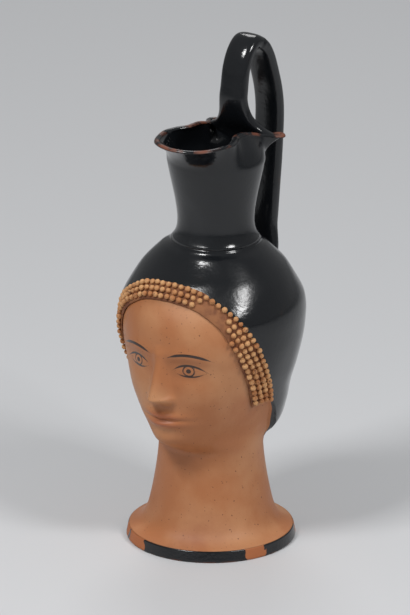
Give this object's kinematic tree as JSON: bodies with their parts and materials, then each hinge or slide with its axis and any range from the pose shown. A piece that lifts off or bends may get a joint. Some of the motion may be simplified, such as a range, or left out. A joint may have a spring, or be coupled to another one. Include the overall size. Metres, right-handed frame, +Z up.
{
  "type": "figural oinochoe",
  "caption": "Greek wine jug in the shape of a woman's head, with a trefoil mouth, a high strap handle, a black-gloss cap of hair edged with clay curls, and a flared black foot.",
  "frame": {"origin": "middle of the whole jug's box, on the ground that the foot stands on", "axes": "+Z up through the mouth, -Y the way the face looks, +Y toward the handle, +X the figure's left"},
  "size_m": [0.0788, 0.0936, 0.2227],
  "materials": {
    "clay": "satin",
    "dark_clay": "matt",
    "black_gloss": "gloss",
    "pellet_clay": "matt"
  },
  "bodies": {
    "root": {"foot_rim": "black_gloss", "base_disc": "dark_clay", "neck_column": "clay", "face": "clay", "head_back": "black_gloss", "crown": "black_gloss", "jug_neck": "black_gloss", "mouth": "black_gloss", "handle": "black_gloss", "curl_band": "clay", "curls_outer": "pellet_clay", "curls_middle_long": "pellet_clay", "curls_middle_short": "pellet_clay", "curls_inner_long": "pellet_clay", "curls_inner_short": "pellet_clay", "curls_ear_right": "pellet_clay", "curls_ear_left": "pellet_clay"}
  },
  "joints": []
}
